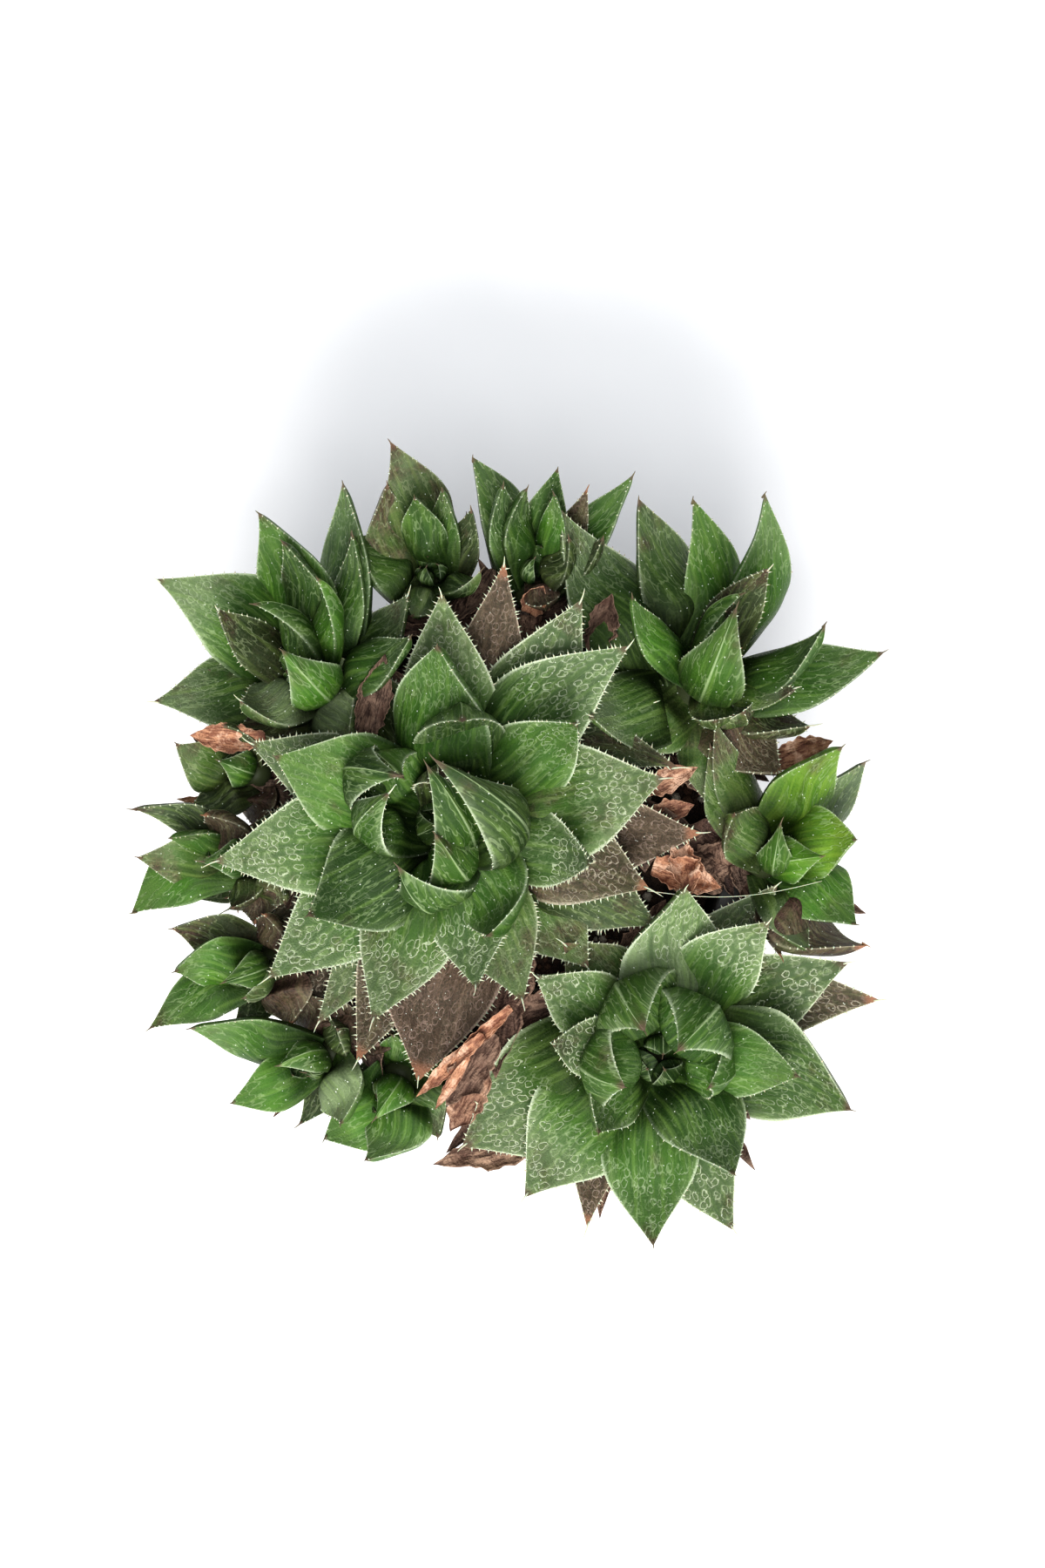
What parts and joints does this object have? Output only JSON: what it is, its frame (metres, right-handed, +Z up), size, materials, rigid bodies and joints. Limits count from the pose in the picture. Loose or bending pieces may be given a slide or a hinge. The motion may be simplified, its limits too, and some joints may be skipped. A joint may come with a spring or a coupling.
{
  "type": "potted haworthia marumiana",
  "caption": "Clumping small succulent: dense domed cluster of pointed, keeled, tooth-edged leaf rosettes on short stems in a plain round nursery pot.",
  "frame": {"origin": "centre of the pot's flat underside", "axes": "+Z up along the pot's axis; +Y is the top edge of the clump as it is seen from above"},
  "size_m": [0.0999, 0.1066, 0.0946],
  "materials": {
    "pot": "dark moulded plastic, matte",
    "soil": "gritty potting mix",
    "leaf": "firm succulent leaf, satin, with a paler net and toothed margins",
    "dry_leaf": "dry papery leaf and stem, matte"
  },
  "bodies": {
    "root": {"pot": "pot", "soil": "soil", "rosette_main": "leaf", "rosette_south_east": "leaf", "rosette_north_west": "leaf", "rosette_north_east": "leaf", "rosette_north_left": "leaf", "rosette_north_middle": "leaf", "rosette_east": "leaf", "rosette_west_upper": "leaf", "rosette_west_middle": "leaf", "rosette_west_lower": "leaf", "rosette_south_west": "leaf", "rosette_south": "leaf", "stem_main": "dry_leaf", "stem_south_east": "dry_leaf", "stem_north_west": "dry_leaf", "stem_north_east": "dry_leaf", "stem_north_left": "dry_leaf", "stem_north_middle": "dry_leaf", "stem_east": "dry_leaf", "stem_west_upper": "dry_leaf", "stem_west_middle": "dry_leaf", "stem_west_lower": "dry_leaf", "stem_south_west": "dry_leaf", "stem_south": "dry_leaf"}
  },
  "joints": []
}
